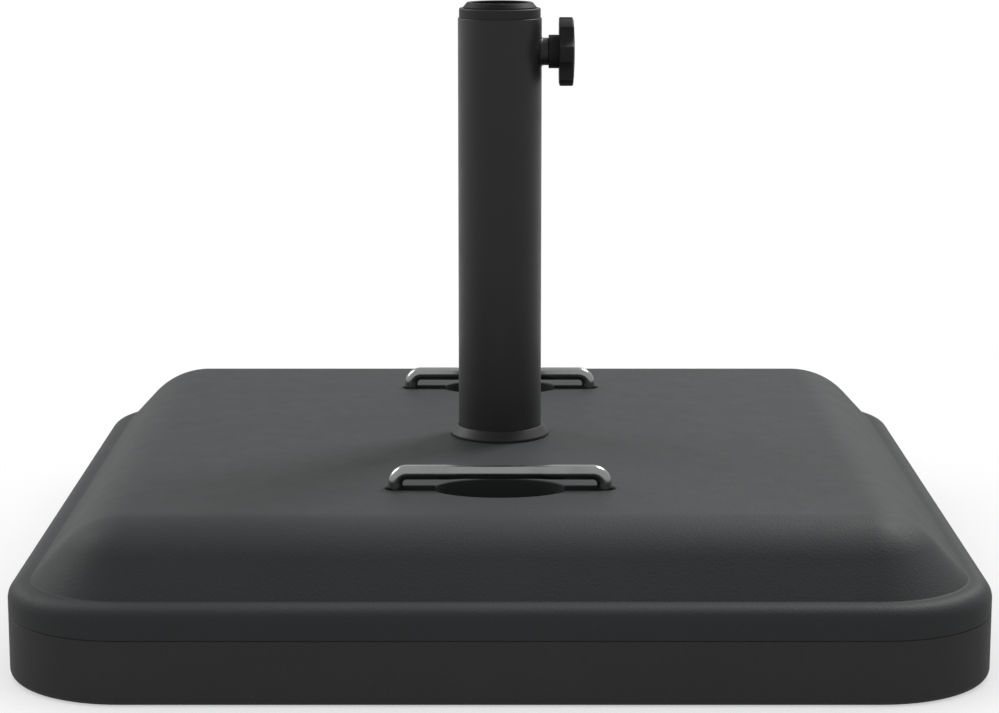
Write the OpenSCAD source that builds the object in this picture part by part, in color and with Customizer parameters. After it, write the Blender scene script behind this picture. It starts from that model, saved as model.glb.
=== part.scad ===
// Square parasol base: a moulded tray and a pillow-shaped top shell around a concrete block,
// an upright tube that takes the parasol pole, two lifting handles and a hand-turned clamp screw.
// Millimetres. +Z is up, the origin is the middle of the underside, the clamp knob points along +X
// and the two handles lie along X, one in front of the tube (-Y) and one behind it (+Y).

/* [Footprint] */
// Width of the square footprint
base_w = 510; // [490:1:540]
// Corner radius of the footprint, seen from above
plan_r = 64; // [64:1:72]
// Thickness of the moulded walls
wall = 3; // [2.5:0.5:3.5]

/* [Tray] */
// Height of the seam between the tray and the top shell
seam_z = 34.2; // [32:0.1:36]
// Radius of the tray's bottom edge
tray_edge_r = 5; // [3:0.5:5]
// Chamfer on both lips of the seam
seam_lip = 0.8; // [0.4:0.1:1.2]
// Height of the locating rim that stands up inside the shell
rim_h = 5; // [3:0.5:7]
// Thickness of the locating rim
rim_t = 2.5; // [2:0.5:3]

/* [Top shell] */
// Height of the flange around the crown
flange_z = 50.8; // [50.4:0.1:52]
// Radius of the flange's outer edge
flange_edge_r = 9; // [7:0.5:9.5]
// Distance from the outer face to the foot of the crown
crown_inset = 12.2; // [12:0.1:12.6]
// Steepness of the crown's side
crown_slope = 47; // [47:1:52]
// Radius of the crown's shoulder
shoulder_r = 46; // [40:1:46]
// Radius of the hollow corner where the crown meets the flange
foot_r = 2; // [1:0.5:3]
// Height of the flat top
top_z = 84; // [83:0.1:84.4]

/* [Handles] */
// Distance of each handle from the middle of the base
handle_y = 136; // [125:1:145]
// Distance between the two legs of a handle
handle_span = 112; // [104:1:116]
// Diameter of the handle bar
bar_d = 8; // [7:0.5:8]
// Diameter of the slimmer middle of the grip
grip_d = 7.2; // [6:0.1:7.6]
// Length of the slimmer middle of the grip
grip_l = 47; // [30:1:60]
// Radius of the bends, to the middle of the bar
bend_r = 6; // [5:0.5:8]
// Height of the bar above the flat top when the handle is down
bar_rise = 8.6; // [8:0.1:12]
// How far the handles lift
handle_lift = 28; // [20:1:28]

/* [Grip recesses] */
// Length of the groove under each handle
groove_l = 124; // [122:1:128]
// Width of the groove
groove_w = 11.7; // [11:0.1:13]
// Depth of the groove
groove_depth = 8; // [6:0.5:9]
// Length of the finger well in the middle of the groove
well_l = 72; // [64:1:80]
// Width of the finger well
well_w = 43; // [38:1:46]
// Depth of the finger well
well_depth = 31; // [26:1:32]

/* [Upright tube] */
// Outer diameter of the tube
tube_d = 48; // [48:0.5:50]
// Wall thickness of the tube
tube_t = 1.5; // [1.2:0.1:1.8]
// Height of the tube's upper end
tube_top_z = 326.2; // [300:0.1:400]
// Outer diameter of the trim ring at the foot of the tube
trim_d = 57; // [55:0.5:62]
// Height of the trim ring at its outer edge
trim_edge_h = 1.6; // [1.2:0.1:3]
// Height of the trim ring where it meets the tube
trim_h = 6.2; // [5:0.1:8]

/* [Collar and reducer] */
// Outer diameter of the collar's flange
collar_d = 46.6; // [46:0.1:47.5]
// Height of the collar's flange
collar_h = 5.6; // [4:0.1:7]
// Bore of the collar, for the thicker pole
collar_bore_d = 38.4; // [38:0.1:39]
// Outer diameter of the reducer's flange
reducer_d = 41.9; // [41:0.1:43]
// Height of the reducer's flange
reducer_h = 3.2; // [2.5:0.1:4]
// Bore of the reducer, for the thinner pole
pole_bore_d = 33; // [32:0.1:34]
// Depth that the collar and the reducer reach into the tube
plug_depth = 10.4; // [9:0.1:11]

/* [Clamp screw] */
// Height of the clamp screw's axis below the upper end of the tube
clamp_drop = 19.2; // [19:0.1:24]
// Thread diameter of the clamp screw
screw_d = 8; // [8:0.1:8.2]
// Outer diameter of the threaded boss on the tube
boss_d = 15.7; // [14:0.1:17]
// Height of the threaded boss above the tube
boss_h = 3.7; // [3:0.1:5]
// Diameter of the knob's hub
hub_d = 19.1; // [17:0.1:21]
// Length of the knob's hub
hub_l = 6; // [5:0.1:8]
// Diameter of the star-shaped head
star_d = 40.2; // [36:0.1:44]
// Thickness of the star-shaped head
star_t = 8.8; // [7:0.1:10]
// Number of lobes on the head
star_lobes = 6; // [5:1:8]
// Distance from the tube's axis to the clamp's soft tip, fully screwed in
tip_x = 15.5; // [15:0.1:16]

/* [Fasteners] */
// Thread diameter of the bolt that holds the tube
bolt_d = 10; // [10:0.5:12]
// Distance from the outer face to the shell screws
screw_inset = 10; // [9.8:0.1:10.2]

/* [Hidden] */
$fn = 96;
cut = 1;                              // how far a cutting shape runs past the face that it opens
fill_gap = 0.3;                       // room between the concrete and the mouldings
rim_gap = 0.3;                        // room between the tray's rim and the shell
half_w = base_w / 2;

// Crown
crown_rise = top_z - flange_z;
shoulder_drop = shoulder_r * (1 - cos(crown_slope));
crown_run = (crown_rise - shoulder_drop) / tan(crown_slope) + shoulder_r * sin(crown_slope);
foot_reach = foot_r * tan(crown_slope / 2);

// Tray
rim_half = half_w - wall - rim_gap;
rim_shelf_z = seam_z - 7;
fill_inset = half_w - rim_half + rim_t + fill_gap;
fill_flange_z = flange_z - wall - fill_gap;

// Tube and its fixing, from the ground up
bolt_head_h = 6.4;
bolt_head_z = 2.9;
bolt_af = 17;
lock_t = 2.2;
lock_d = 18.1;
washer_t = 2.5;
washer_d = 30;
lock_z = bolt_head_z + bolt_head_h;
washer_z = lock_z + lock_t;
cup_ceiling_z = washer_z + washer_t;
tube_foot_z = cup_ceiling_z + wall;
cup_r = tube_d / 2 + 2;
cup_bore_r = cup_r - 4;
plate_t = 6;
weld_nut_z = tube_foot_z + plate_t;
weld_nut_h = 8;
bolt_end_z = weld_nut_z + weld_nut_h + 1;
tube_r = tube_d / 2;
tube_bore_r = tube_r - tube_t;

// Handles
leg_r = bar_d / 2;
bar_z = top_z + bar_rise;
leg_foot_z = wall + 0.3;
nut_h = 6.5;
nut_af = 13;
nut_z = leg_foot_z + 2.2;
handle_washer_t = 1.6;
handle_washer_z = nut_z + nut_h;
handle_washer_d = 16;
guide_foot_z = handle_washer_z + handle_washer_t + handle_lift + 0.1;
groove_z = top_z - groove_depth;
guide_top_z = groove_z - wall;
guide_r = 6;
guide_bore_r = leg_r + 0.1;
leg_hole_r = leg_r + 0.4;
well_z = top_z - well_depth;
leg_pocket_r = 10.5;

// Collar, reducer and clamp
clamp_z = tube_top_z - clamp_drop;
plug_foot_z = tube_top_z - plug_depth;
collar_top_z = tube_top_z + collar_h;
reducer_plug_r = collar_bore_d / 2 - 0.1;
boss_x = tube_r + boss_h;
hub_x = boss_x + 0.1;
star_x = hub_x + hub_l;
tip_r = 3.2;
tip_l = 3;
tip_stem_r = 1.5;
tip_stem_l = 4;
screw_foot_x = tip_x + tip_l + 0.1;
screw_head_x = star_x + star_t - 2.6;

// Shell screws
screw_cup_r = 7.5;
screw_cup_bore_r = 4.6;
screw_seat_z = 5.5;
screw_shank_r = 2;
screw_shank_l = 18;
screw_head_r = 4;
screw_head_h = 2.8;
pillar_r = 3.8;
pillar_foot_z = screw_seat_z + 2.5 + 0.2;
screw_side = half_w - screw_inset;
screw_corner = half_w - plan_r + (plan_r - screw_inset) * cos(45);
SCREW_PLACES = concat(
    [for (a = [0:90:270]) [screw_side * cos(a), screw_side * sin(a)]],
    [for (sx = [-1, 1]) for (sy = [-1, 1]) [sx * screw_corner, sy * screw_corner]]
);

// ---- outlines -------------------------------------------------------------------------------

function arc(cx, cy, r, a0, a1, n) =
    [for (i = [0:n]) let (a = a0 + (a1 - a0) * i / n) [cx + r * cos(a), cy + r * sin(a)]];
function ellipse(a, b, n) = [for (i = [0:n - 1]) [a * cos(360 * i / n), b * sin(360 * i / n)]];
function reversed(list) = [for (i = [len(list) - 1:-1:0]) list[i]];

// An edge outline is a list of [distance inward from the outer face, height], from the bottom up.
// The flange's outer face from height z and its rounded edge, moved inward by t.
function flange_side(t, z) = concat(
    [[t, z]],
    [for (p = arc(0, flange_z - flange_edge_r, flange_edge_r - t, 0, 90, 6))
        [flange_edge_r - p[0], p[1]]]
);
// The hollow corner at the crown's foot, its slope and its shoulder, moved inward by t.
function crown_side(t) = concat(
    [for (p = arc(0, flange_z + foot_r, foot_r + t, 270, 270 - crown_slope, 4))
        [crown_inset - foot_reach - p[0], p[1]]],
    [for (p = arc(0, top_z - shoulder_r, shoulder_r - t, 90 - crown_slope, 90, 9))
        [crown_inset + crown_run - p[0], p[1]]]
);
function shell_side(t, z) = concat(flange_side(t, z), crown_side(t));

// ---- shared shapes --------------------------------------------------------------------------

// A solid rounded square whose four sides and four corners all have the same edge outline: a slab
// across the middle, a bar on each side of it and a quarter turn in each corner.
module pillow(half, corner, edge) {
    c = half - corner;
    lo = edge[0][1];
    hi = edge[len(edge) - 1][1];
    right = [for (p = edge) [half - p[0], p[1]]];
    left = [for (p = reversed(edge)) [p[0] - half, p[1]]];
    rim = concat([[0, lo]], [for (p = edge) [corner - p[0], p[1]]], [[0, hi]]);
    rotate([90, 0, 90]) linear_extrude(2 * c, center = true) polygon(concat(right, left));
    for (a = [0, 180]) rotate(a) translate([c, 0, 0])
        rotate([90, 0, 0]) linear_extrude(2 * c, center = true) polygon(rim);
    for (a = [0:90:270]) rotate(a) translate([c, c, 0]) rotate_extrude(angle = 90) polygon(rim);
}

module hex(af, h) {
    cylinder(d = af / cos(30), h = h, $fn = 6);
}

module at_legs(side) {
    for (sx = [-1, 1]) translate([sx * handle_span / 2, side * handle_y, 0]) children();
}

// A straight groove with round ends, or the housing around it, between two heights.
module groove(length, width, z0, z1) {
    translate([0, 0, (z0 + z1) / 2]) cube([length - width, width, z1 - z0], center = true);
    for (sx = [-1, 1]) translate([sx * (length - width) / 2, 0, z0]) cylinder(d = width, h = z1 - z0);
}

// The finger well or its housing: an ellipse, between two heights.
module well(length, width, z0, z1) {
    translate([0, 0, z0]) linear_extrude(z1 - z0) polygon(ellipse(length / 2, width / 2, 64));
}

// The recess under one handle, grown by t sideways and deepened by t.
module recess(side, t, z1) {
    translate([0, side * handle_y, 0]) {
        groove(groove_l + 2 * t, groove_w + 2 * t, groove_z - t, z1);
        well(well_l + 2 * t, well_w + 2 * t, well_z - t, z1);
    }
}

// ---- mouldings and fill ---------------------------------------------------------------------

module bottom_tray() color("#2f302f") difference() {
    union() {
        difference() {
            union() {
                pillow(half_w, plan_r, concat(
                    [for (p = arc(0, tray_edge_r, tray_edge_r, 270, 360, 6)) [tray_edge_r - p[0], p[1]]],
                    [[0, seam_z - seam_lip], [seam_lip, seam_z]]
                ));
                pillow(rim_half, plan_r - half_w + rim_half, [[0, wall], [0, seam_z + rim_h]]);
            }
            pillow(half_w - wall, plan_r - wall, [[0, wall], [0, rim_shelf_z]]);
            pillow(rim_half - rim_t, plan_r - half_w + rim_half - rim_t,
                [[0, rim_shelf_z - cut], [0, seam_z + rim_h + cut]]);
        }
        cylinder(r = cup_r, h = tube_foot_z);
        for (p = SCREW_PLACES) translate([p[0], p[1], wall / 2])
            cylinder(r = screw_cup_r, h = screw_seat_z + 2.5 - wall / 2);
    }
    translate([0, 0, -cut]) cylinder(r = cup_bore_r, h = cup_ceiling_z + cut);
    cylinder(r = bolt_d / 2 + 0.2, h = tube_foot_z + cut);
    for (p = SCREW_PLACES) translate(p) {
        translate([0, 0, -cut]) cylinder(r = screw_cup_bore_r, h = screw_seat_z + cut);
        cylinder(r = screw_shank_r + 0.2, h = screw_seat_z + 2.5 + cut);
    }
}

module top_shell() color("#474947") difference() {
    union() {
        difference() {
            pillow(half_w, plan_r, concat([[seam_lip, seam_z]], shell_side(0, seam_z + seam_lip)));
            pillow(half_w, plan_r, shell_side(wall, seam_z - cut));
        }
        for (side = [-1, 1]) recess(side, wall, top_z - wall / 2);
        for (p = SCREW_PLACES) translate([p[0], p[1], pillar_foot_z])
            cylinder(r = pillar_r, h = flange_z - 1 - pillar_foot_z);
    }
    for (side = [-1, 1]) {
        recess(side, 0, top_z + cut);
        at_legs(side) translate([0, 0, guide_top_z - cut]) cylinder(r = leg_hole_r, h = wall + 2 * cut);
    }
    translate([0, 0, flange_z]) cylinder(r = tube_r + 0.3, h = top_z - flange_z + cut);
    for (p = SCREW_PLACES) translate([p[0], p[1], pillar_foot_z - cut])
        cylinder(r = screw_shank_r + 0.05, h = screw_shank_l + cut);
}

module concrete_fill() color("#9a978f") difference() {
    pillow(half_w, plan_r, concat(
        [[fill_inset, wall], [fill_inset, fill_flange_z - 3], [fill_inset + 3, fill_flange_z]],
        crown_side(wall + fill_gap)
    ));
    translate([0, 0, wall - cut]) cylinder(r = cup_r + fill_gap, h = tube_foot_z + fill_gap - wall + cut);
    cylinder(r = tube_r + 0.2, h = top_z);
    for (side = [-1, 1]) {
        recess(side, wall + fill_gap, top_z + cut);
        at_legs(side) {
            cylinder(r = leg_pocket_r, h = guide_foot_z);
            cylinder(r = guide_r + 0.05, h = top_z);
        }
    }
    for (p = SCREW_PLACES) translate(p) {
        cylinder(r = screw_cup_r + fill_gap, h = screw_seat_z + 2.5 + fill_gap);
        cylinder(r = pillar_r + 1, h = top_z);
    }
}

module shell_screws() color("silver")
    for (p = SCREW_PLACES) translate([p[0], p[1], screw_seat_z]) {
        translate([0, 0, -screw_head_h]) cylinder(r = screw_head_r, h = screw_head_h);
        cylinder(r = screw_shank_r, h = screw_shank_l);
    }

// ---- handles --------------------------------------------------------------------------------

// One bar: two straight legs, two bends and a grip that is slimmer in the middle.
module handle(side) color("silver") translate([0, side * handle_y, 0]) {
    straight = handle_span / 2 - bend_r;
    for (sx = [-1, 1]) mirror([sx < 0 ? 1 : 0, 0, 0]) {
        translate([handle_span / 2, 0, leg_foot_z]) cylinder(r = leg_r, h = bar_z - bend_r - leg_foot_z);
        translate([straight, 0, bar_z - bend_r]) rotate([90, 0, 0])
            rotate_extrude(angle = 90) translate([bend_r, 0]) circle(r = leg_r);
    }
    translate([0, 0, bar_z]) rotate([0, 90, 0]) rotate_extrude() polygon([
        [0, -straight], [leg_r, -straight], [leg_r, -grip_l / 2 - 6], [grip_d / 2, -grip_l / 2 + 6],
        [grip_d / 2, grip_l / 2 - 6], [leg_r, grip_l / 2 + 6], [leg_r, straight], [0, straight]
    ]);
}

module handle_guides(side) color("#5a5c5a") at_legs(side) translate([0, 0, guide_foot_z]) difference() {
    cylinder(r = guide_r, h = guide_top_z - guide_foot_z);
    translate([0, 0, -cut]) cylinder(r = guide_bore_r, h = guide_top_z - guide_foot_z + 2 * cut);
}

module handle_washers(side) color("silver") at_legs(side) translate([0, 0, handle_washer_z]) difference() {
    cylinder(d = handle_washer_d, h = handle_washer_t);
    translate([0, 0, -cut]) cylinder(r = leg_r + 0.05, h = handle_washer_t + 2 * cut);
}

module handle_nuts(side) color("silver") at_legs(side) translate([0, 0, nut_z]) difference() {
    hex(nut_af, nut_h);
    translate([0, 0, -cut]) cylinder(r = leg_r + 0.02, h = nut_h + 2 * cut);
}

module handle_front() handle(-1);
module handle_rear() handle(1);
module handle_guides_front() handle_guides(-1);
module handle_guides_rear() handle_guides(1);
module handle_washers_front() handle_washers(-1);
module handle_washers_rear() handle_washers(1);
module handle_nuts_front() handle_nuts(-1);
module handle_nuts_rear() handle_nuts(1);

// ---- upright tube and its fixing ------------------------------------------------------------

module upright_tube() color("#363836") difference() {
    translate([0, 0, tube_foot_z]) cylinder(r = tube_r, h = tube_top_z - tube_foot_z);
    translate([0, 0, tube_foot_z - cut]) cylinder(r = tube_bore_r, h = tube_top_z - tube_foot_z + 2 * cut);
    translate([0, 0, clamp_z]) rotate([0, 90, 0]) cylinder(r = screw_d / 2 + 0.3, h = tube_r + cut);
}

module tube_trim_ring() color("#2f302f") translate([0, 0, top_z]) rotate_extrude() polygon([
    [tube_r + 0.1, 0], [trim_d / 2, 0], [trim_d / 2, trim_edge_h - 0.8],
    [trim_d / 2 - 0.8, trim_edge_h], [tube_r + 1, trim_h], [tube_r + 0.1, trim_h]
]);

module tube_end_plate() color("#6b6d6b") translate([0, 0, tube_foot_z]) difference() {
    cylinder(r = tube_bore_r - 0.05, h = plate_t);
    translate([0, 0, -cut]) cylinder(r = bolt_d / 2 + 0.2, h = plate_t + 2 * cut);
}

module weld_nut() color("silver") translate([0, 0, weld_nut_z]) difference() {
    hex(bolt_af, weld_nut_h);
    translate([0, 0, -cut]) cylinder(r = bolt_d / 2 + 0.02, h = weld_nut_h + 2 * cut);
}

module centre_bolt() color("silver") {
    translate([0, 0, bolt_head_z]) hex(bolt_af, bolt_head_h);
    translate([0, 0, lock_z]) cylinder(d = bolt_d, h = bolt_end_z - lock_z);
}

module bolt_washer() color("silver") translate([0, 0, washer_z]) difference() {
    cylinder(d = washer_d, h = washer_t);
    translate([0, 0, -cut]) cylinder(r = bolt_d / 2 + 0.25, h = washer_t + 2 * cut);
}

// The split spring washer, with its gap.
module lock_washer() color("silver") translate([0, 0, lock_z]) difference() {
    cylinder(d = lock_d, h = lock_t);
    translate([0, 0, -cut]) cylinder(r = bolt_d / 2 + 0.1, h = lock_t + 2 * cut);
    translate([0, -0.6, -cut]) cube([lock_d, 1.2, lock_t + 2 * cut]);
}

// ---- collar and reducer ---------------------------------------------------------------------

module top_collar() color("#2c2d2c") rotate_extrude() polygon([
    [collar_bore_d / 2, plug_foot_z], [tube_bore_r - 0.1, plug_foot_z],
    [tube_bore_r - 0.1, tube_top_z], [collar_d / 2, tube_top_z],
    [collar_d / 2, collar_top_z - 0.5], [collar_d / 2 - 0.5, collar_top_z],
    [collar_bore_d / 2, collar_top_z]
]);

module reducer_ring() color("#262726") rotate_extrude() polygon([
    [pole_bore_d / 2, plug_foot_z], [reducer_plug_r, plug_foot_z],
    [reducer_plug_r, collar_top_z], [reducer_d / 2, collar_top_z],
    [reducer_d / 2, collar_top_z + 0.6], [reducer_d / 2 - 1, collar_top_z + reducer_h],
    [pole_bore_d / 2, collar_top_z + reducer_h]
]);

// ---- clamp screw ----------------------------------------------------------------------------

module along_clamp(x) {
    translate([x, 0, clamp_z]) rotate([0, 90, 0]) children();
}

module clamp_boss() color("#2f302f") difference() {
    along_clamp(tube_r - 3) cylinder(d = boss_d, h = boss_h + 3);
    translate([0, 0, clamp_z - boss_d]) cylinder(r = tube_r, h = 2 * boss_d);
    along_clamp(tube_r - 4) cylinder(r = screw_d / 2 + 0.05, h = boss_h + 5);
}

module clamp_screw() color("silver") difference() {
    along_clamp(screw_foot_x) cylinder(d = screw_d, h = screw_head_x - screw_foot_x);
    along_clamp(screw_foot_x - cut) cylinder(r = tip_stem_r + 0.05, h = tip_stem_l + 0.2 + cut);
}

// The soft tip that touches the pole and doesn't turn with the screw.
module clamp_tip() color("ivory") {
    along_clamp(tip_x) cylinder(r = tip_r, h = tip_l);
    along_clamp(tip_x + tip_l) cylinder(r = tip_stem_r, h = tip_stem_l);
}

// A hub and a star-shaped head with round hollows between its lobes.
module clamp_knob() color("#222322") {
    hollow_r = 7;
    valley_r = star_d / 2 - 4.1;
    difference() {
        union() {
            along_clamp(hub_x) cylinder(d = hub_d, h = hub_l);
            along_clamp(star_x) difference() {
                union() {
                    cylinder(d = star_d, h = star_t - 0.8);
                    translate([0, 0, star_t - 0.8]) cylinder(d1 = star_d, d2 = star_d - 2.4, h = 0.8);
                }
                for (i = [0:star_lobes - 1]) rotate([0, 0, (i + 0.5) * 360 / star_lobes])
                    translate([valley_r + hollow_r, 0, -cut]) cylinder(r = hollow_r, h = star_t + 2 * cut);
            }
        }
        along_clamp(hub_x - cut) cylinder(r = screw_d / 2 + 0.02, h = screw_head_x - hub_x + 0.1 + cut);
    }
}

// ---- the assembly ---------------------------------------------------------------------------

bottom_tray();
top_shell();
concrete_fill();
shell_screws();
handle_front();
handle_rear();
handle_guides_front();
handle_guides_rear();
handle_washers_front();
handle_washers_rear();
handle_nuts_front();
handle_nuts_rear();
upright_tube();
tube_trim_ring();
tube_end_plate();
weld_nut();
centre_bolt();
bolt_washer();
lock_washer();
top_collar();
reducer_ring();
clamp_boss();
clamp_screw();
clamp_tip();
clamp_knob();
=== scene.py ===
"""Looks of a square parasol base: a grained plastic tray and pillow-shaped shell, a coated upright
tube with its collar, reducer ring and clamp knob, and two polished lifting handles.

Lengths are in metres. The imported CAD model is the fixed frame, and each detailed piece stands for one
CAD node at the same place and size."""
import math

import bmesh
import bpy
from mathutils import Matrix, Vector


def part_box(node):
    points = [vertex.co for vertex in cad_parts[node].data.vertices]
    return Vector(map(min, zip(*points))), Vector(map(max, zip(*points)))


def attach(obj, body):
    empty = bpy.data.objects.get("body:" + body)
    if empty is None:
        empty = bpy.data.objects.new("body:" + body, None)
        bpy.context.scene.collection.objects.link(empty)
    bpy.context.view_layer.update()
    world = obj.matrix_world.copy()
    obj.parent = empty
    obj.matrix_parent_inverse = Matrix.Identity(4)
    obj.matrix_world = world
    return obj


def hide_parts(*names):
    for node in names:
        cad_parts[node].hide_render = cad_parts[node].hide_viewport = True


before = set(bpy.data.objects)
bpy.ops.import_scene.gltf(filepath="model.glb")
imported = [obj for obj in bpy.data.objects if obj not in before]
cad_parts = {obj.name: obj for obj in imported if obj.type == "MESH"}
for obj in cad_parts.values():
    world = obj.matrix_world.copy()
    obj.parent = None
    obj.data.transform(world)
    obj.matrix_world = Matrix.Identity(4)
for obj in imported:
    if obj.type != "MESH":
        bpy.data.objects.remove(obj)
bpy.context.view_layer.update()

# ---- places and sizes -----------------------------------------------------------------------

MM = 0.001

# Read from the frame
base_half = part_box("top_shell")[1].x
top_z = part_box("top_shell")[1].z
tube_lo, tube_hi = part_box("upright_tube")
tube_r = tube_hi.y
trim_lo, trim_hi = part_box("tube_trim_ring")
collar_lo, collar_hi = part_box("top_collar")
ring_lo, ring_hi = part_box("reducer_ring")
boss_lo, boss_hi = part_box("clamp_boss")
screw_lo, screw_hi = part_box("clamp_screw")
tip_lo, tip_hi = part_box("clamp_tip")
knob_lo, knob_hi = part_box("clamp_knob")
clamp_z = (boss_lo.z + boss_hi.z) / 2
bar_lo, bar_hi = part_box("handle_rear")
bar_r = (bar_hi.y - bar_lo.y) / 2
handle_y = (bar_hi.y + bar_lo.y) / 2
leg_x = bar_hi.x - bar_r
bar_z = bar_hi.z - bar_r
bolt_lo, bolt_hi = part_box("centre_bolt")
washer_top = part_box("bolt_washer")[1].z
shell_screw_lo, shell_screw_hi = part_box("shell_screws")

# Fixed by the design of the mouldings
WALL = 3 * MM
PLAN_R = 64 * MM
SEAM_Z = 34.2 * MM
SEAM_LIP = 0.8 * MM
TRAY_EDGE_R = 5 * MM
RIM_GAP = 0.3 * MM
RIM_T = 2.5 * MM
RIM_H = 5 * MM
RIM_SHELF_Z = SEAM_Z - 7 * MM
FLANGE_Z = 50.8 * MM
FLANGE_EDGE_R = 9 * MM
CROWN_INSET = 12.2 * MM
CROWN_SLOPE = math.radians(47)
SHOULDER_R = 46 * MM
FOOT_R = 2 * MM
CUP_R = 26 * MM
CUP_BORE_R = 22 * MM
SCREW_INSET = 10 * MM
SCREW_CUP_R = 7.5 * MM
SCREW_CUP_BORE_R = 4.6 * MM
SCREW_SEAT_Z = 5.5 * MM
SCREW_CLEAR_R = 2.2 * MM
BOLT_CLEAR_R = 5.2 * MM
PILLAR_R = 3.8 * MM

# Fixed by the design of the tube, its rings and the clamp
TUBE_WALL = 1.5 * MM
COLLAR_BORE_R = 19.2 * MM
POLE_BORE_R = 16.5 * MM
RING_PLUG_R = 19.1 * MM
HUB_R = 9.55 * MM
HUB_L = 6 * MM
SCREW_PITCH = 1.25 * MM
SCREW_R = 3.96 * MM
BOLT_PITCH = 1.5 * MM
BOLT_R = 5 * MM

# Fixed by the design of the grip recesses
GROOVE_L = 124 * MM
GROOVE_W = 11.7 * MM
GROOVE_DEPTH = 8 * MM
WELL_L = 72 * MM
WELL_W = 43 * MM
WELL_DEPTH = 31 * MM
LIP_R = 1.0 * MM

# The floor is a hair below the tray, so that the two faces don't share a plane
FLOOR_Z = -0.2 * MM

# Camera
CAMERA_AT = (-0.0002, -1.5529, 0.4277)
CAMERA_PITCH = math.radians(10.862)
LENS_MM = 97.725


# ---- mesh tools -----------------------------------------------------------------------------

def arc(cx, cy, r, start, end, steps):
    """Points on a circle, from one angle in degrees to another."""
    angles = [math.radians(start + (end - start) * i / steps) for i in range(steps + 1)]
    return [(cx + r * math.cos(a), cy + r * math.sin(a)) for a in angles]


def add_mesh(name, verts, faces):
    mesh = bpy.data.meshes.new(name)
    mesh.from_pydata([tuple(v) for v in verts], [], faces)
    mesh.validate()
    bm = bmesh.new()
    bm.from_mesh(mesh)
    bmesh.ops.recalc_face_normals(bm, faces=bm.faces)
    bm.to_mesh(mesh)
    bm.free()
    obj = bpy.data.objects.new(name, mesh)
    bpy.context.scene.collection.objects.link(obj)
    return obj


def loft(name, rings, closed_path=False):
    """Joins rings of the same number of points. The two ends are capped, or joined to each other."""
    count = len(rings[0])
    verts = [p for ring in rings for p in ring]
    faces = []
    spans = len(rings) if closed_path else len(rings) - 1
    for i in range(spans):
        a, b = i * count, (i + 1) % len(rings) * count
        for j in range(count):
            k = (j + 1) % count
            faces.append((a + j, a + k, b + k, b + j))
    if not closed_path:
        faces.append(tuple(reversed(range(count))))
        faces.append(tuple(range(len(verts) - count, len(verts))))
    return add_mesh(name, verts, faces)


def square_ring(inset, z, corner_steps=20, side_steps=14):
    """A ring around the rounded square, this far inside the outer face."""
    centre = base_half - PLAN_R
    radius = PLAN_R - inset
    points = []
    for quarter in range(4):
        turn = Matrix.Rotation(math.radians(90 * quarter), 2)
        corner = [Vector((centre + x, centre + y)) for x, y in arc(0, 0, radius, 0, 90, corner_steps)]
        start = corner[-1]
        side = [Vector((start.x - 2 * centre * i / side_steps, start.y)) for i in range(1, side_steps)]
        points += [turn @ p for p in corner + side]
    return [(p.x, p.y, z) for p in points]


def swept_square(name, path):
    """A closed body: the path of (inset, height) goes from the middle of one cap to that of the other."""
    return loft(name, [square_ring(inset, z) for inset, z in path])


def lathe(name, profile, steps=128, axis="Z", centre=(0, 0, 0)):
    """Turns a closed outline of (radius, height) about an axis."""
    rings = []
    for radius, height in profile:
        ring = []
        for i in range(steps):
            a = 2 * math.pi * i / steps
            u, v = radius * math.cos(a), radius * math.sin(a)
            local = (u, v, height) if axis == "Z" else (height, u, v)
            ring.append(Vector(local) + Vector(centre))
        rings.append(ring)
    return loft(name, rings, closed_path=True)


def rounded(outline, radii, steps=5):
    """Rounds the corners of a closed outline. A radius of 0 keeps the corner."""
    result = []
    n = len(outline)
    for i, radius in enumerate(radii):
        here = Vector(outline[i])
        if radius <= 0:
            result.append(tuple(here))
            continue
        back = (Vector(outline[i - 1]) - here).normalized()
        ahead = (Vector(outline[(i + 1) % n]) - here).normalized()
        half = back.angle(ahead) / 2
        reach = radius / math.tan(half)
        middle = here + (back + ahead).normalized() * radius / math.sin(half)
        first = here + back * reach - middle
        swing = here + ahead * reach - middle
        turn = first.angle_signed(swing)
        for k in range(steps + 1):
            result.append(tuple(middle + Matrix.Rotation(-turn * k / steps, 2) @ first))
    return result


def applied(obj):
    """Turns the object's modifiers into its mesh."""
    graph = bpy.context.evaluated_depsgraph_get()
    mesh = bpy.data.meshes.new_from_object(obj.evaluated_get(graph))
    obj.modifiers.clear()
    obj.data = mesh
    return obj


def combine(target, other, operation):
    """Cuts another body out of the target, or adds it, and deletes the other body."""
    modifier = target.modifiers.new("combine", "BOOLEAN")
    modifier.operation = operation
    modifier.solver = "EXACT"
    modifier.object = other
    applied(target)
    bpy.data.objects.remove(other)
    return target


def joined(name, objects):
    """One object from several, with their meshes side by side."""
    bm = bmesh.new()
    for obj in objects:
        bm.from_mesh(obj.data)
        bpy.data.objects.remove(obj)
    mesh = bpy.data.meshes.new(name)
    bm.to_mesh(mesh)
    bm.free()
    obj = bpy.data.objects.new(name, mesh)
    bpy.context.scene.collection.objects.link(obj)
    return obj


def moved(obj, offset=(0, 0, 0), turn=0):
    """Moves and turns the mesh itself, so that the object stays at the origin."""
    obj.data.transform(Matrix.Translation(offset) @ Matrix.Rotation(turn, 4, "Z"))
    return obj


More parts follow.
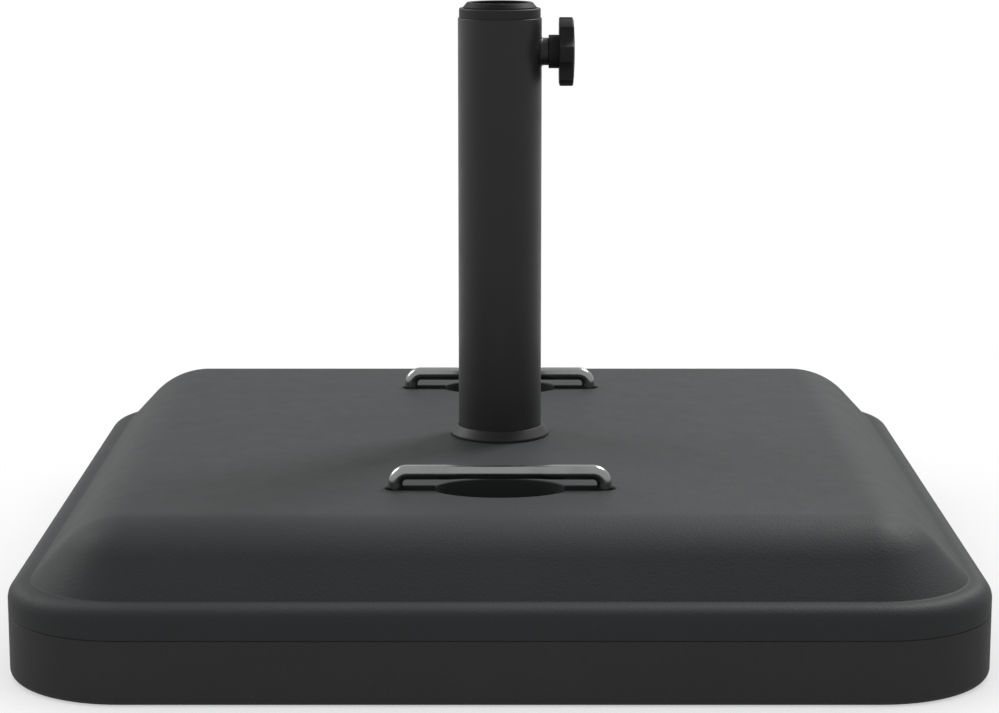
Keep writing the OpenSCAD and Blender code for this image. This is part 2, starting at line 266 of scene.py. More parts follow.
def smooth(obj, limit=32):
    """Smooth shading, with edges sharper than the limit in degrees kept crisp."""
    bm = bmesh.new()
    bm.from_mesh(obj.data)
    bmesh.ops.remove_doubles(bm, verts=bm.verts, dist=1e-7)
    for face in bm.faces:
        face.smooth = True
    for edge in bm.edges:
        edge.smooth = len(edge.link_faces) == 2 and edge.calc_face_angle(0) < math.radians(limit)
    bm.to_mesh(obj.data)
    bm.free()
    weighted = obj.modifiers.new("weighted", "WEIGHTED_NORMAL")
    weighted.keep_sharp = True
    return applied(obj)


# ---- materials ------------------------------------------------------------------------------

class Finish:
    """A node material with its shader, its object coordinates and short calls for the usual nodes."""

    def __init__(self, name):
        self.material = bpy.data.materials.new(name)
        self.material.use_nodes = True
        self.tree = self.material.node_tree
        self.shader = self.tree.nodes["Principled BSDF"]
        self.coords = self.node("ShaderNodeTexCoord").outputs["Object"]

    def node(self, kind, **settings):
        made = self.tree.nodes.new(kind)
        for key, value in settings.items():
            setattr(made, key, value)
        return made

    def link(self, source, target):
        self.tree.links.new(source, target)

    def scaled(self, x, y, z):
        mapping = self.node("ShaderNodeMapping")
        mapping.inputs["Scale"].default_value = (x, y, z)
        self.link(self.coords, mapping.inputs["Vector"])
        return mapping.outputs["Vector"]

    def noise(self, scale, detail=3.0, rough=0.5, vector=None):
        made = self.node("ShaderNodeTexNoise")
        made.inputs["Scale"].default_value = scale
        made.inputs["Detail"].default_value = detail
        made.inputs["Roughness"].default_value = rough
        self.link(vector or self.coords, made.inputs["Vector"])
        return made.outputs["Fac"]

    def cells(self, scale, feature="F1"):
        made = self.node("ShaderNodeTexVoronoi", feature=feature)
        made.inputs["Scale"].default_value = scale
        self.link(self.coords, made.inputs["Vector"])
        return made.outputs["Distance"]

    def spread(self, value, low, high, to_low, to_high):
        """Maps a value from one range to another, clamped."""
        made = self.node("ShaderNodeMapRange")
        for key, number in zip(("From Min", "From Max", "To Min", "To Max"), (low, high, to_low, to_high)):
            made.inputs[key].default_value = number
        self.link(value, made.inputs["Value"])
        return made.outputs["Result"]

    def mixed(self, factor, first, second):
        """Mixes two colours, each a colour value or a socket."""
        made = self.node("ShaderNodeMix", data_type="RGBA")
        self.link(factor, made.inputs[0])
        for place, colour in ((6, first), (7, second)):
            if isinstance(colour, tuple):
                made.inputs[place].default_value = (*colour, 1)
            else:
                self.link(colour, made.inputs[place])
        return made.outputs[2]

    def maths(self, operation, first, second):
        made = self.node("ShaderNodeMath", operation=operation)
        for place, value in enumerate((first, second)):
            if isinstance(value, (int, float)):
                made.inputs[place].default_value = value
            else:
                self.link(value, made.inputs[place])
        return made.outputs[0]

    def edges(self, width_mm=0.9):
        """Bright on outer edges, broken up by noise, where handling rubs the surface."""
        geometry = self.node("ShaderNodeNewGeometry")
        bevel = self.node("ShaderNodeBevel", samples=6)
        bevel.inputs["Radius"].default_value = width_mm * MM
        dot = self.node("ShaderNodeVectorMath", operation="DOT_PRODUCT")
        self.link(bevel.outputs["Normal"], dot.inputs[0])
        self.link(geometry.outputs["Normal"], dot.inputs[1])
        near = self.spread(dot.outputs["Value"], 0.99, 0.9, 0, 1)
        outer = self.spread(geometry.outputs["Pointiness"], 0.49, 0.53, 0, 1)
        patches = self.spread(self.noise(90, 5), 0.42, 0.62, 0.25, 1)
        return self.maths("MULTIPLY", self.maths("MULTIPLY", near, outer), patches)

    def bump(self, height, distance, below=None):
        made = self.node("ShaderNodeBump")
        made.inputs["Strength"].default_value = 1.0
        made.inputs["Distance"].default_value = distance
        self.link(height, made.inputs["Height"])
        if below:
            self.link(below, made.inputs["Normal"])
        return made.outputs["Normal"]

    def set(self, **values):
        for key, value in values.items():
            self.shader.inputs[key.replace("_", " ")].default_value = value

    def feed(self, **sockets):
        for key, socket in sockets.items():
            self.link(socket, self.shader.inputs[key.replace("_", " ")])


def grained_plastic(name, colour, roughness, grain_mm, depth_mm, specular=0.3):
    """Moulded plastic with a fine pebble grain, faint flow marks, fine specks and rubbed edges."""
    f = Finish(name)
    f.set(Specular_IOR_Level=specular)
    light = tuple(min(1, c * 1.22 + 0.002) for c in colour)
    dark = tuple(c * 0.84 for c in colour)
    rubbed = tuple(min(1, c * 2.1 + 0.01) for c in colour)
    flow = f.spread(f.noise(14, 4, 0.6), 0.3, 0.7, 0.4, 0.6)
    speck = f.spread(f.noise(1 / (0.4 * MM), 2), 0.35, 0.65, 0, 1)
    blend = f.maths("ADD", f.maths("MULTIPLY", flow, 0.6), f.maths("MULTIPLY", speck, 0.4))
    tone = f.mixed(blend, dark, light)
    f.feed(Base_Color=f.mixed(f.maths("MULTIPLY", f.edges(), 0.5), tone, rubbed))
    f.feed(Roughness=f.spread(f.noise(60, 6, 0.65), 0.3, 0.7, roughness - 0.03, roughness + 0.03))
    pebbles = f.cells(1 / (grain_mm * MM), "SMOOTH_F1")
    skin = f.bump(pebbles, depth_mm * MM)
    sag = f.noise(45, 2)
    f.feed(Normal=f.bump(sag, 0.012 * MM, skin))
    return f.material


def coated_metal(name, colour, roughness):
    """Satin powder coat with its fine orange peel, and a few rubbed spots."""
    f = Finish(name)
    f.set(Specular_IOR_Level=0.22)
    rubbed = tuple(min(1, c * 2.2 + 0.01) for c in colour)
    tone = f.mixed(f.spread(f.noise(30, 4), 0.3, 0.7, 0, 1), tuple(c * 0.88 for c in colour), colour)
    f.feed(Base_Color=f.mixed(f.maths("MULTIPLY", f.edges(), 0.6), tone, rubbed))
    f.feed(Roughness=f.spread(f.noise(60, 5, 0.6), 0.3, 0.7, roughness - 0.04, roughness + 0.06))
    f.feed(Normal=f.bump(f.noise(620, 2), 0.05 * MM))
    return f.material


def bright_metal(name, colour, roughness, scratch=(40, 900, 900), depth_mm=0.004):
    """Bare metal with fine polishing marks along X and a little tarnish."""
    f = Finish(name)
    f.set(Metallic=1.0)
    marks = f.noise(1, 5, 0.7, f.scaled(*scratch))
    tarnish = f.spread(f.noise(55, 5, 0.6), 0.45, 0.75, 0, 1)
    f.feed(Base_Color=f.mixed(tarnish, colour, tuple(c * 0.78 for c in colour)))
    f.feed(Roughness=f.spread(marks, 0.3, 0.7, roughness * 0.75, roughness * 1.35))
    f.feed(Normal=f.bump(marks, depth_mm * MM))
    return f.material


def plated_metal(name, colour, roughness):
    """Zinc plating: a fine crystalline mottle."""
    f = Finish(name)
    f.set(Metallic=1.0)
    spangle = f.spread(f.cells(700), 0.0, 0.6, 0, 1)
    f.feed(Base_Color=f.mixed(spangle, colour, tuple(c * 0.7 for c in colour)))
    f.feed(Roughness=f.spread(f.noise(300, 4), 0.3, 0.7, roughness - 0.08, roughness + 0.1))
    f.feed(Normal=f.bump(f.noise(1500, 3), 0.01 * MM))
    return f.material


def cast_concrete(name, colour):
    """Concrete with sand, stones and small air holes."""
    f = Finish(name)
    stones = f.spread(f.cells(120), 0.1, 0.6, 0, 1)
    sand = f.noise(900, 4, 0.7)
    blotch = f.spread(f.noise(9, 6), 0.35, 0.65, 0, 1)
    tone = f.mixed(blotch, colour, tuple(c * 0.8 for c in colour))
    f.feed(Base_Color=f.mixed(f.maths("MULTIPLY", stones, 0.3), tone, tuple(c * 1.15 for c in colour)))
    f.set(Roughness=0.92)
    pits = f.spread(f.cells(260), 0.0, 0.12, 0, 1)
    f.feed(Normal=f.bump(sand, 0.15 * MM, f.bump(pits, 0.5 * MM)))
    return f.material


shell_plastic = grained_plastic("shell_plastic", (0.0180, 0.0188, 0.0195), 0.60, 1.3, 0.10, 0.06)
tray_plastic = grained_plastic("tray_plastic", (0.0200, 0.0202, 0.0200), 0.60, 1.3, 0.10, 0.06)
trim_plastic = grained_plastic("trim_plastic", (0.0068, 0.0071, 0.0071), 0.50, 0.5, 0.010, 0.12)
collar_plastic = grained_plastic("collar_plastic", (0.0155, 0.0162, 0.0159), 0.50, 0.5, 0.012, 0.06)
ring_plastic = grained_plastic("ring_plastic", (0.0058, 0.0061, 0.0060), 0.55, 0.5, 0.012, 0.05)
knob_plastic = grained_plastic("knob_plastic", (0.0100, 0.0104, 0.0102), 0.55, 0.6, 0.018, 0.05)
guide_plastic = grained_plastic("guide_plastic", (0.10, 0.105, 0.10), 0.45, 0.6, 0.01)
tip_plastic = grained_plastic("tip_plastic", (0.62, 0.58, 0.46), 0.4, 0.6, 0.006)
tube_paint = coated_metal("tube_paint", (0.0098, 0.0104, 0.0101), 0.42)
handle_steel = bright_metal("handle_steel", (0.21, 0.213, 0.213), 0.2)
zinc_steel = plated_metal("zinc_steel", (0.55, 0.56, 0.57), 0.36)
plain_steel = bright_metal("plain_steel", (0.30, 0.29, 0.28), 0.45, (300, 300, 300), 0.02)
concrete = cast_concrete("concrete", (0.36, 0.345, 0.315))

CAD_FINISHES = {
    "concrete_fill": concrete,
    "handle_guides_front": guide_plastic, "handle_guides_rear": guide_plastic,
    "handle_washers_front": zinc_steel, "handle_washers_rear": zinc_steel,
    "handle_nuts_front": zinc_steel, "handle_nuts_rear": zinc_steel,
    "tube_end_plate": plain_steel, "weld_nut": plain_steel,
    "bolt_washer": zinc_steel, "lock_washer": zinc_steel,
}


def finish_cad(node, material):
    """Gives a CAD node that stays in view its detailed material."""
    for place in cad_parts[node].material_slots:
        place.material = material


def placed(piece, node, body, material, limit=32):
    """Smooths the piece, gives it its material, hides the CAD node that it stands for and hangs it on the
    body it moves with.
    """
    smooth(piece, limit)
    piece.data.materials.clear()
    piece.data.materials.append(material)
    for face in piece.data.polygons:
        face.material_index = 0
    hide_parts(node)
    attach(piece, body)


# ---- the two mouldings ----------------------------------------------------------------------

CROWN_RUN = ((top_z - FLANGE_Z - SHOULDER_R * (1 - math.cos(CROWN_SLOPE))) / math.tan(CROWN_SLOPE)
             + SHOULDER_R * math.sin(CROWN_SLOPE))
FOOT_REACH = FOOT_R * math.tan(CROWN_SLOPE / 2)
SLOPE_DEG = math.degrees(CROWN_SLOPE)
SUPPORT = 0.5 * MM  # distance of the flat caps' own ring from the last curved one


def shell_side(t, low):
    """The shell's side moved inward by t, from the seam up to the flat top, as (inset, height)."""
    edge = [(FLANGE_EDGE_R - x, z)
            for x, z in arc(0, FLANGE_Z - FLANGE_EDGE_R, FLANGE_EDGE_R - t, 0, 90, 10)]
    foot = [(CROWN_INSET - FOOT_REACH - x, z)
            for x, z in arc(0, FLANGE_Z + FOOT_R, FOOT_R + t, 270, 270 - SLOPE_DEG, 8)]
    shoulder = [(CROWN_INSET + CROWN_RUN - x, z)
                for x, z in arc(0, top_z - SHOULDER_R, SHOULDER_R - t, 90 - SLOPE_DEG, 90, 32)]
    last = shoulder[-1]
    return [(t, low)] + edge + foot + shoulder + [(last[0] + SUPPORT, last[1])]


def screw_places():
    side = base_half - SCREW_INSET
    corner = base_half - PLAN_R + (PLAN_R - SCREW_INSET) / math.sqrt(2)
    sides = [(side, 0), (0, side), (-side, 0), (0, -side)]
    return sides + [(sx * corner, sy * corner) for sx in (-1, 1) for sy in (-1, 1)]


def rod(name, x, y, radius, low, high, steps=48):
    return loft(name, [[(x + u, y + v, z) for u, v in arc(0, 0, radius, 0, 360, steps)[:-1]]
                       for z in (low, high)])


def groove_outline(grow, steps=20):
    """The straight groove with round ends, grown sideways."""
    reach = (GROOVE_L - GROOVE_W) / 2
    radius = GROOVE_W / 2 + grow
    return arc(reach, 0, radius, -90, 90, steps) + arc(-reach, 0, radius, 90, 270, steps)


def well_outline(grow, steps=96):
    """The oval finger well, grown along its own normals."""
    a, b = WELL_L / 2, WELL_W / 2
    points = []
    for i in range(steps):
        angle = 2 * math.pi * i / steps
        normal = Vector((math.cos(angle) / a, math.sin(angle) / b)).normalized()
        points.append((a * math.cos(angle) + grow * normal.x, b * math.sin(angle) + grow * normal.y))
    return points


def recess_cutter(name, outline, side, depth, floor_r):
    """The shape taken out of the shell: a rounded floor, upright walls and a lip that opens out."""
    floor = top_z - depth
    levels = [(-floor_r + floor_r * math.sin(math.radians(a)),
               floor + floor_r * (1 - math.cos(math.radians(a))))
              for a in range(0, 91, 15)]
    levels += [(LIP_R * (1 - math.cos(math.radians(a))), top_z - LIP_R + LIP_R * math.sin(math.radians(a)))
               for a in range(0, 91, 15)]
    levels.append((LIP_R, top_z + 2 * MM))
    return loft(name, [[(x, y + side * handle_y, z) for x, y in outline(grow)] for grow, z in levels])


def housing(name, outline, side, depth):
    """The body of plastic around a recess."""
    levels = (top_z - depth - WALL, top_z - WALL / 2)
    return loft(name, [[(x, y + side * handle_y, z) for x, y in outline(WALL)] for z in levels])


def make_shell():
    outer = [(SUPPORT + 6 * MM, SEAM_Z)]
    outer += [(SEAM_LIP + x, z) for x, z in arc(0, SEAM_Z + SEAM_LIP, SEAM_LIP, 270, 180, 5)]
    outer += shell_side(0, SEAM_Z + 2 * SEAM_LIP)
    shell = swept_square("shell_detail", outer)
    hollow = swept_square("hollow", [(WALL + 6 * MM, SEAM_Z - 5 * MM)] + shell_side(WALL, SEAM_Z - 5 * MM))
    for side in (-1, 1):
        combine(hollow, housing("groove_body", groove_outline, side, GROOVE_DEPTH), "DIFFERENCE")
        combine(hollow, housing("well_body", well_outline, side, WELL_DEPTH), "DIFFERENCE")
    combine(shell, hollow, "DIFFERENCE")
    pillars = [rod("pillar", x, y, PILLAR_R, shell_screw_lo.z + 5.5 * MM, FLANGE_Z - 1 * MM)
               for x, y in screw_places()]
    combine(shell, joined("pillars", pillars), "UNION")
    for side in (-1, 1):
        combine(shell, recess_cutter("groove", groove_outline, side, GROOVE_DEPTH, 2 * MM), "DIFFERENCE")
        combine(shell, recess_cutter("well", well_outline, side, WELL_DEPTH, 5 * MM), "DIFFERENCE")
        for sx in (-1, 1):
            hole = rod("leg_hole", sx * leg_x, side * handle_y, bar_r + 0.4 * MM,
                       top_z - GROOVE_DEPTH - WALL - 1 * MM, top_z - GROOVE_DEPTH + 1 * MM)
            combine(shell, hole, "DIFFERENCE")
    combine(shell, rod("tube_hole", 0, 0, tube_r + 0.3 * MM, FLANGE_Z, top_z + 1 * MM, 96), "DIFFERENCE")
    placed(shell, "top_shell", "base", shell_plastic)


def make_tray():
    rim = WALL + RIM_GAP
    path = [(60 * MM, WALL), (WALL + 4 * MM, WALL), (WALL, WALL + 4 * MM), (WALL, RIM_SHELF_Z)]
    path += [(rim + RIM_T, RIM_SHELF_Z + 0.5 * MM), (rim + RIM_T, SEAM_Z + RIM_H)]
    path += [(rim, SEAM_Z + RIM_H), (rim, SEAM_Z)]
    path += [(SEAM_LIP - x, z) for x, z in arc(0, SEAM_Z - SEAM_LIP, SEAM_LIP, 90, 0, 5)]
    path += [(TRAY_EDGE_R - x, z) for x, z in arc(0, TRAY_EDGE_R, TRAY_EDGE_R, 0, -90, 10)]
    path += [(TRAY_EDGE_R + SUPPORT, 0)]
    tray = swept_square("tray_detail", path)
    cups = [rod("cup", x, y, SCREW_CUP_R, WALL / 2, SCREW_SEAT_Z + 2.5 * MM) for x, y in screw_places()]
    cups.append(rod("cup", 0, 0, CUP_R, WALL / 2, tube_lo.z, 96))
    combine(tray, joined("cups", cups), "UNION")
    bores = []
    for x, y in screw_places():
        bores.append(rod("bore", x, y, SCREW_CUP_BORE_R, -1 * MM, SCREW_SEAT_Z))
        bores.append(rod("bore", x, y, SCREW_CLEAR_R, SCREW_SEAT_Z - 1 * MM, SCREW_SEAT_Z + 4 * MM))
    bores.append(rod("bore", 0, 0, CUP_BORE_R, -1 * MM, washer_top, 96))
    bores.append(rod("bore", 0, 0, BOLT_CLEAR_R, washer_top - 1 * MM, tube_lo.z + 1 * MM))
    for bore in bores:
        combine(tray, bore, "DIFFERENCE")
    placed(tray, "bottom_tray", "base", tray_plastic)


# ---- handles --------------------------------------------------------------------------------

BEND_R = 6 * MM
GRIP_R = 3.6 * MM
GRIP_HALF = 23.5 * MM


def grip_radius(x):
    """The grip is slimmer in the middle, with a soft step at each end of it."""
    t = (abs(x) - (GRIP_HALF - 6 * MM)) / (12 * MM)
    t = min(1, max(0, t))
    return GRIP_R + (bar_r - GRIP_R) * t * t * (3 - 2 * t)


def make_handle(name, side):
    """A round bar swept up one leg, round a bend, along the grip and down the other leg."""
    straight = leg_x - BEND_R
    foot = bar_lo.z
    half = [(leg_x, foot), (leg_x, foot + 0.8 * MM)]
    half += [(leg_x, foot + 0.8 * MM + (bar_z - BEND_R - foot - 0.8 * MM) * i / 12) for i in range(1, 12)]
    half += arc(straight, bar_z - BEND_R, BEND_R, 0, 90, 14)
    half += [(straight * (1 - i / 30), bar_z) for i in range(1, 31)]
    path = half + [(-x, z) for x, z in reversed(half[:-1])]
    rings = []
    for i, (x, z) in enumerate(path):
        before, after = path[max(i - 1, 0)], path[min(i + 1, len(path) - 1)]
        along = Vector((after[0] - before[0], 0, after[1] - before[1])).normalized()
        across = Vector((0, 1, 0))
        up = along.cross(across)
        radius = bar_r - 0.8 * MM if i in (0, len(path) - 1) else grip_radius(x)
        ring = []
        for k in range(40):
            a = 2 * math.pi * k / 40
            spot = Vector((x, side * handle_y, z)) + radius * (math.cos(a) * across + math.sin(a) * up)
            ring.append(spot)
        rings.append(ring)
    bar = loft(name + "_detail", rings)
    placed(bar, name, name, handle_steel, 40)


# ---- upright tube, trim ring, collar and reducer --------------------------------------------

def make_tube():
    inner = tube_r - TUBE_WALL
    outline = [(inner, tube_lo.z), (tube_r, tube_lo.z), (tube_r, tube_hi.z), (inner, tube_hi.z)]
    tube = lathe("tube_detail", rounded(outline, [0, 0.3 * MM, 0.2 * MM, 0.2 * MM]), 144)
    hole = loft("screw_hole", [[(x, u, clamp_z + v) for u, v in arc(0, 0, 4.3 * MM, 0, 360, 40)[:-1]]
                               for x in (tube_r - 6 * MM, tube_r + 2 * MM)])
    combine(tube, hole, "DIFFERENCE")
    placed(tube, "upright_tube", "base", tube_paint)


def make_trim():
    low = trim_lo.z
    outline = [(tube_r + 0.1 * MM, low), (trim_hi.x, low), (trim_hi.x, low + 1.4 * MM),
               (tube_r + 1.0 * MM, trim_hi.z), (tube_r + 0.1 * MM, trim_hi.z)]
    radii = [0, 0.15 * MM, 1.2 * MM, 0.35 * MM, 0.15 * MM]
    placed(lathe("trim_detail", rounded(outline, radii), 144), "tube_trim_ring", "base",
           trim_plastic)


def make_collar():
    bore = COLLAR_BORE_R
    plug = tube_r - TUBE_WALL - 0.1 * MM
    outline = [(bore, collar_lo.z), (plug, collar_lo.z), (plug, tube_hi.z), (collar_hi.x, tube_hi.z),
               (collar_hi.x, collar_hi.z), (bore, collar_hi.z)]
    radii = [0.4 * MM, 0.6 * MM, 0, 0.3 * MM, 0.8 * MM, 0.4 * MM]
    placed(lathe("collar_detail", rounded(outline, radii), 144), "top_collar", "base",
           collar_plastic)


def make_reducer():
    bore = POLE_BORE_R
    plug = RING_PLUG_R
    outline = [(bore, ring_lo.z), (plug, ring_lo.z), (plug, collar_hi.z), (ring_hi.x, collar_hi.z),
               (ring_hi.x, collar_hi.z + 0.6 * MM), (ring_hi.x - 2.2 * MM, ring_hi.z), (bore, ring_hi.z)]
    radii = [0.4 * MM, 0.6 * MM, 0, 0.2 * MM, 0.3 * MM, 0.7 * MM, 0.6 * MM]
    placed(lathe("reducer_detail", rounded(outline, radii), 144), "reducer_ring", "reducer_ring",
           ring_plastic)


# ---- clamp ----------------------------------------------------------------------------------

def make_boss():
    """The threaded boss, with its saddle foot on the tube and a small weld fillet around it."""
    radius = (boss_hi.y - boss_lo.y) / 2
    bore = 4.05 * MM
    weld = 0.9 * MM
    rim = 0.3 * MM
    steps = 72
    rings = []
    for i in range(steps):
        a = 2 * math.pi * i / steps
        c, s = math.cos(a), math.sin(a)

        def on_tube(r, rise=0.0):
            return (math.sqrt(tube_r ** 2 - (r * c) ** 2) + rise, r * c, clamp_z + r * s)

        ring = [on_tube(bore), on_tube(radius + weld)]
        ring += [on_tube(radius + weld - weld * math.sin(t), weld * (1 - math.cos(t)))
                 for t in (0.4, 0.8, 1.2, math.pi / 2)]
        for t in (0, 0.5, 1.0, math.pi / 2):
            reach = radius - rim * (1 - math.cos(t))
            ring.append((boss_hi.x - rim * (1 - math.sin(t)), reach * c, clamp_z + reach * s))
        ring += [(boss_hi.x, (bore + 0.5 * MM) * c, clamp_z + (bore + 0.5 * MM) * s),
                 (boss_hi.x - 0.5 * MM, bore * c, clamp_z + bore * s)]
        rings.append(ring)
    placed(loft("boss_detail", rings, closed_path=True), "clamp_boss", "base", tube_paint)


def make_screw():
    """A stud with a real right-hand thread, which shows when the knob is turned out."""
    pitch = SCREW_PITCH
    major = SCREW_R
    depth = 0.62 * MM
    start, end = screw_lo.x, screw_hi.x
    rows = int((end - start) / pitch * 10)
    around = 48
    rings = [[(start, 1.55 * MM * math.cos(a), clamp_z + 1.55 * MM * math.sin(a))
              for a in (2 * math.pi * k / around for k in range(around))]]
    for i in range(rows + 1):
        x = start + (end - start) * i / rows
        ring = []
        for k in range(around):
            a = 2 * math.pi * k / around
            phase = (x / pitch - k / around) % 1.0
            fall = depth * abs(2 * phase - 1)
            taper = max(0.0, 1.0 * MM - (x - start))
            r = major - max(fall, taper)
            ring.append((x, r * math.cos(a), clamp_z + r * math.sin(a)))
        rings.append(ring)
    placed(loft("screw_detail", rings), "clamp_screw", "clamp_screw", zinc_steel, 50)


def make_tip():
    r, stem = 3.2 * MM, 1.5 * MM
    face = tip_lo.x
    outline = [(0.02 * MM, face), (r, face), (r, face + 3 * MM), (stem, face + 3 * MM), (stem, tip_hi.x),
               (0.02 * MM, tip_hi.x)]
    radii = [0, 0.6 * MM, 0.3 * MM, 0, 0.3 * MM, 0]
    tip = lathe("tip_detail", rounded(outline, radii), 48, "X", (0, 0, clamp_z))
    placed(tip, "clamp_tip", "clamp_tip", tip_plastic)


STAR_LOBES = 6
STAR_HOLLOW_R = 7 * MM
STAR_HOLLOW_DEPTH = 4.1 * MM


def star_radius(angle, outer):
    """Radius of the star's outline: a circle with round hollows, blended where they meet."""
    valley = outer - STAR_HOLLOW_DEPTH
    centre = valley + STAR_HOLLOW_R
    sector = 2 * math.pi / STAR_LOBES
    off = (angle % sector) - sector / 2
    inside = STAR_HOLLOW_R ** 2 - (centre * math.sin(off)) ** 2
    if inside <= 0:
        return outer
    hollow = centre * math.cos(off) - math.sqrt(inside)
    blend = 1.1 * MM
    gap = max(0.0, 1 - abs(outer - hollow) / (3 * blend))
    return min(outer, hollow) - gap * gap * blend * 0.75


def make_knob():
    """The star head with rounded rims and a dished middle, on a plain hub around the screw."""
    outer = (knob_hi.z - knob_lo.z) / 2
    hub_r = HUB_R
    hub_x = knob_lo.x
    star_x = hub_x + HUB_L
    face_x = knob_hi.x
    rim = 0.9 * MM
    front_rim = rim + 0.6 * MM
    dome = 0.7 * MM
    steps = 180
    levels = [(-rim * (1 - math.sin(t)), star_x + rim * (1 - math.cos(t)))
              for t in (0, 0.3, 0.6, 0.9, 1.2, math.pi / 2)]
    levels += [(-front_rim * (1 - math.cos(t)), face_x - dome - rim + rim * math.sin(t))
               for t in (0, 0.3, 0.6, 0.9, 1.2, math.pi / 2)]
    rings = []
    for grow, x in levels:
        ring = []
        for k in range(steps):
            a = 2 * math.pi * k / steps
            r = star_radius(a + math.pi / STAR_LOBES + math.pi / 2, outer) + grow
            ring.append((x, r * math.cos(a), clamp_z + r * math.sin(a)))
        rings.append(ring)
    for share, rise in ((0.8, 0.35), (0.62, 0.55), (0.5, 0.66), (0.47, 0.62), (0.455, 0.3),
                        (0.44, 0.2), (0.2, 0.15)):
        last = []
        for k in range(steps):
            a = 2 * math.pi * k / steps
            flat = star_radius(a + math.pi / STAR_LOBES + math.pi / 2, outer) - front_rim
            r = flat * share if share > 0.7 else outer * 0.9 * share
            last.append((face_x - dome + rise * MM, r * math.cos(a), clamp_z + r * math.sin(a)))
        rings.append(last)
    head = loft("knob_detail", rings)
    bore = 4.02 * MM
    hub_outline = [(bore, hub_x), (hub_r, hub_x), (hub_r, star_x + 1 * MM), (bore, star_x + 1 * MM)]
    hub = lathe("hub", rounded(hub_outline, [0.4 * MM, 0.3 * MM, 0, 0]), 96, "X", (0, 0, clamp_z))
    hole = loft("hole", [[(x, u, clamp_z + v) for u, v in arc(0, 0, bore, 0, 360, 96)[:-1]]
                         for x in (hub_x - 1 * MM, screw_hi.x + 0.1 * MM)])
    combine(head, hole, "DIFFERENCE")
    combine(head, hub, "UNION")
    placed(head, "clamp_knob", "clamp_screw", knob_plastic)


# ---- fasteners ------------------------------------------------------------------------------

def hex_radius(angle, across_flats):
    return across_flats / 2 / math.cos((angle + math.pi / 6) % (math.pi / 3) - math.pi / 6)


def make_bolt():
    """The centre bolt: a chamfered hexagon head below, and a threaded shank up into the weld nut."""
    across = 17 * MM
    low = bolt_lo.z
    head_top = low + 6.4 * MM
    corner = across / math.sqrt(3)
    rings = []
    for z, limit in ((low, 0.86), (low + 0.4 * MM, 0.9), (low + 0.8 * MM, 0.95),
                     (low + 1.3 * MM, 1.0), (head_top, 1.0)):
        rings.append([(min(hex_radius(a, across), corner * limit) * math.cos(a),
                       min(hex_radius(a, across), corner * limit) * math.sin(a), z)
                      for a in (2 * math.pi * k / 96 for k in range(96))])
    pitch = BOLT_PITCH
    rows = 150
    for i in range(rows + 1):
        z = head_top + (bolt_hi.z - head_top) * i / rows
        ring = []
        for k in range(96):
            a = 2 * math.pi * k / 96
            phase = (z / pitch - k / 96) % 1.0
            r = BOLT_R - 0.8 * MM * abs(2 * phase - 1)
            ring.append((r * math.cos(a), r * math.sin(a), z))
        rings.append(ring)
    placed(loft("bolt_detail", rings), "centre_bolt", "base", zinc_steel, 35)


def make_shell_screws():
    """Pan-head screws with a cross recess, pointing up from below."""
    head_z = shell_screw_lo.z
    seat = SCREW_SEAT_Z
    screws = []
    for x, y in screw_places():
        profile = [(0.02 * MM, head_z), (2.4 * MM, head_z), (3.4 * MM, head_z + 0.5 * MM),
                   (4.0 * MM, head_z + 1.3 * MM), (4.0 * MM, seat), (2.0 * MM, seat),
                   (2.0 * MM, shell_screw_hi.z - 2 * MM), (0.3 * MM, shell_screw_hi.z),
                   (0.02 * MM, shell_screw_hi.z)]
        screw = lathe("screw", rounded(profile, [0, 0.8 * MM, 0.6 * MM, 0.5 * MM, 0.2 * MM, 0, 0, 0, 0]), 48)
        for turn in (0, math.pi / 2):
            slot = loft("slot", [[(u, v, z) for u, v in
                                  ((-w, -0.45 * MM), (w, -0.45 * MM), (w, 0.45 * MM), (-w, 0.45 * MM))]
                                 for z, w in ((head_z - 1 * MM, 2.3 * MM), (head_z + 1.6 * MM, 1.0 * MM))])
            combine(screw, moved(slot, turn=turn), "DIFFERENCE")
        screws.append(moved(screw, (x, y, 0), math.atan2(y, x) * 1.7))
    placed(joined("shell_screws_detail", screws), "shell_screws", "base", zinc_steel)


# ---- floor, light and camera ----------------------------------------------------------------

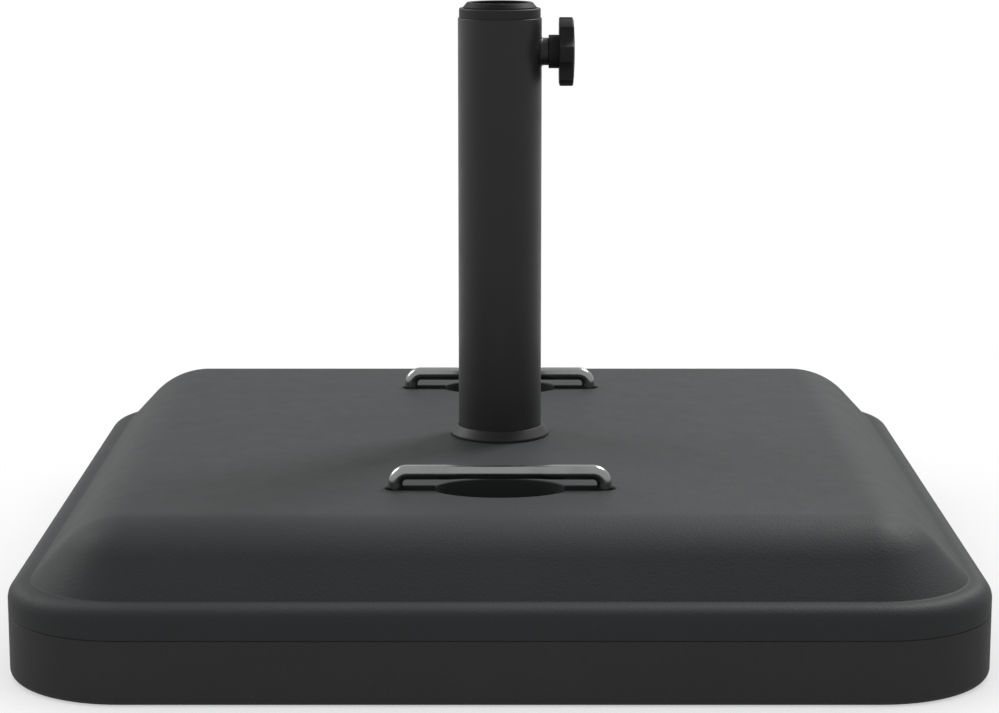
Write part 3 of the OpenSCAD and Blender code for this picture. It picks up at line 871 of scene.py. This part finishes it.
def make_floor():
    corners = [(x, y, FLOOR_Z) for x, y in ((-6, -6), (6, -6), (6, 8), (-6, 8))]
    floor = add_mesh("floor", corners, [(0, 1, 2, 3)])
    f = Finish("floor_paper")
    tone = f.spread(f.noise(2.5, 3), 0.3, 0.7, 0, 1)
    f.feed(Base_Color=f.mixed(tone, (0.47, 0.47, 0.47), (0.49, 0.49, 0.49)))
    f.set(Roughness=0.9, Specular_IOR_Level=0.1, Emission_Color=(1, 1, 1, 1), Emission_Strength=0.48)
    floor.data.materials.append(f.material)
    return floor


def area_light(name, at, towards, size, power, lit):
    """A soft lamp that lights what the collection allows, so that the paper stays evenly white."""
    light = bpy.data.lights.new(name, "AREA")
    light.energy = power
    light.size = size
    lamp = bpy.data.objects.new(name, light)
    lamp.light_linking.receiver_collection = lit
    lamp.location = at
    lamp.rotation_euler = (Vector(towards) - Vector(at)).to_track_quat("-Z", "Y").to_euler()
    bpy.context.scene.collection.objects.link(lamp)


def make_light(floor):
    world = bpy.data.worlds.new("studio")
    world.use_nodes = True
    background = world.node_tree.nodes["Background"]
    background.inputs["Color"].default_value = (1, 1, 1, 1)
    background.inputs["Strength"].default_value = 1.08
    bpy.context.scene.world = world
    lit = bpy.data.collections.new("lit_by_lamps")
    lit.objects.link(floor)
    lit.collection_objects[0].light_linking.link_state = "EXCLUDE"
    area_light("key", (1.2, 1.25, 1.95), (0, 0, 0.1), 0.8, 104, lit)
    area_light("fill", (-1.75, 0.95, 1.45), (0, 0, 0.1), 1.2, 50, lit)


def make_camera():
    data = bpy.data.cameras.new("camera")
    data.sensor_width = 36
    data.lens = LENS_MM
    camera = bpy.data.objects.new("camera", data)
    camera.location = CAMERA_AT
    camera.rotation_euler = (math.radians(90) - CAMERA_PITCH, 0, 0)
    bpy.context.scene.collection.objects.link(camera)
    bpy.context.scene.camera = camera


bpy.context.scene.view_settings.view_transform = "Standard"
make_light(make_floor())
make_camera()
make_tray()
make_shell()
make_handle("handle_front", -1)
make_handle("handle_rear", 1)
make_tube()
make_trim()
make_collar()
make_reducer()
make_boss()
make_screw()
make_tip()
make_knob()
make_bolt()
make_shell_screws()
for node_name, finish in CAD_FINISHES.items():
    finish_cad(node_name, finish)
